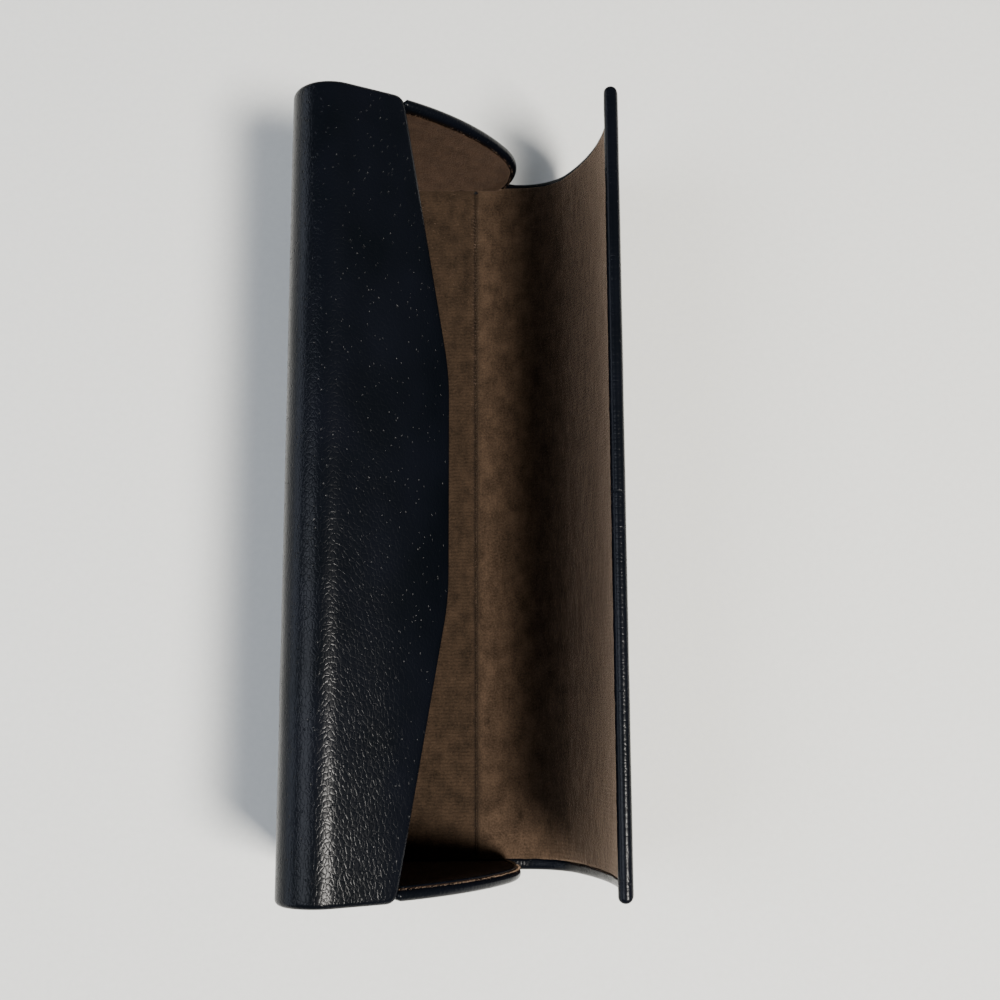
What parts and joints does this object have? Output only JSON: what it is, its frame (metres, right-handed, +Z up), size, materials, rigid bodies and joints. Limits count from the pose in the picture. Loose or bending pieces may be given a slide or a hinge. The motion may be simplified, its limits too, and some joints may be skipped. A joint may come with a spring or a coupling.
{
  "type": "hard eyeglass case",
  "caption": "Hard shell spectacle case standing open: leather over board, suede lining, fixed tapered flap, end panels and a curved magnetic lid hinged along the base.",
  "frame": {"origin": "under the middle of the open case, on the surface it stands on", "axes": "+Z up from the base; +Y along the case, the long way; +X from the back wall towards the open lid"},
  "size_m": [0.0671, 0.16, 0.052],
  "materials": {
    "leather": "near-black grained leather with a faint navy cast, edges turned in",
    "board": "formed stiff fibre board, hidden between leather and lining",
    "suede": "brown microsuede with a short brushed nap",
    "magnet": "nickel-plated flat magnet, hidden",
    "keeper": "plain steel plate, hidden"
  },
  "bodies": {
    "case": {"shell_cover": "leather", "shell_board": "board", "base_lining": "suede", "wall_lining": "suede", "end_panel_cover_left": "leather", "end_panel_board_left": "board", "end_panel_lining_left": "suede", "end_panel_cover_right": "leather", "end_panel_board_right": "board", "end_panel_lining_right": "suede", "flap_magnet_left": "magnet", "flap_magnet_right": "magnet", "hinge_leather": "leather", "hinge_lining": "suede"},
    "lid": {"lid_cover": "leather", "lid_board": "board", "lid_lining": "suede", "lid_keeper_left": "keeper", "lid_keeper_right": "keeper"}
  },
  "joints": [
    {"name": "lid_hinge", "type": "hinge", "parent": "case", "child": "lid", "pos_m": [0.0114, 0, 0.00095], "axis": [0, -1, 0], "range_deg": [0, 48], "deforming": ["hinge_leather", "hinge_lining"]}
  ]
}
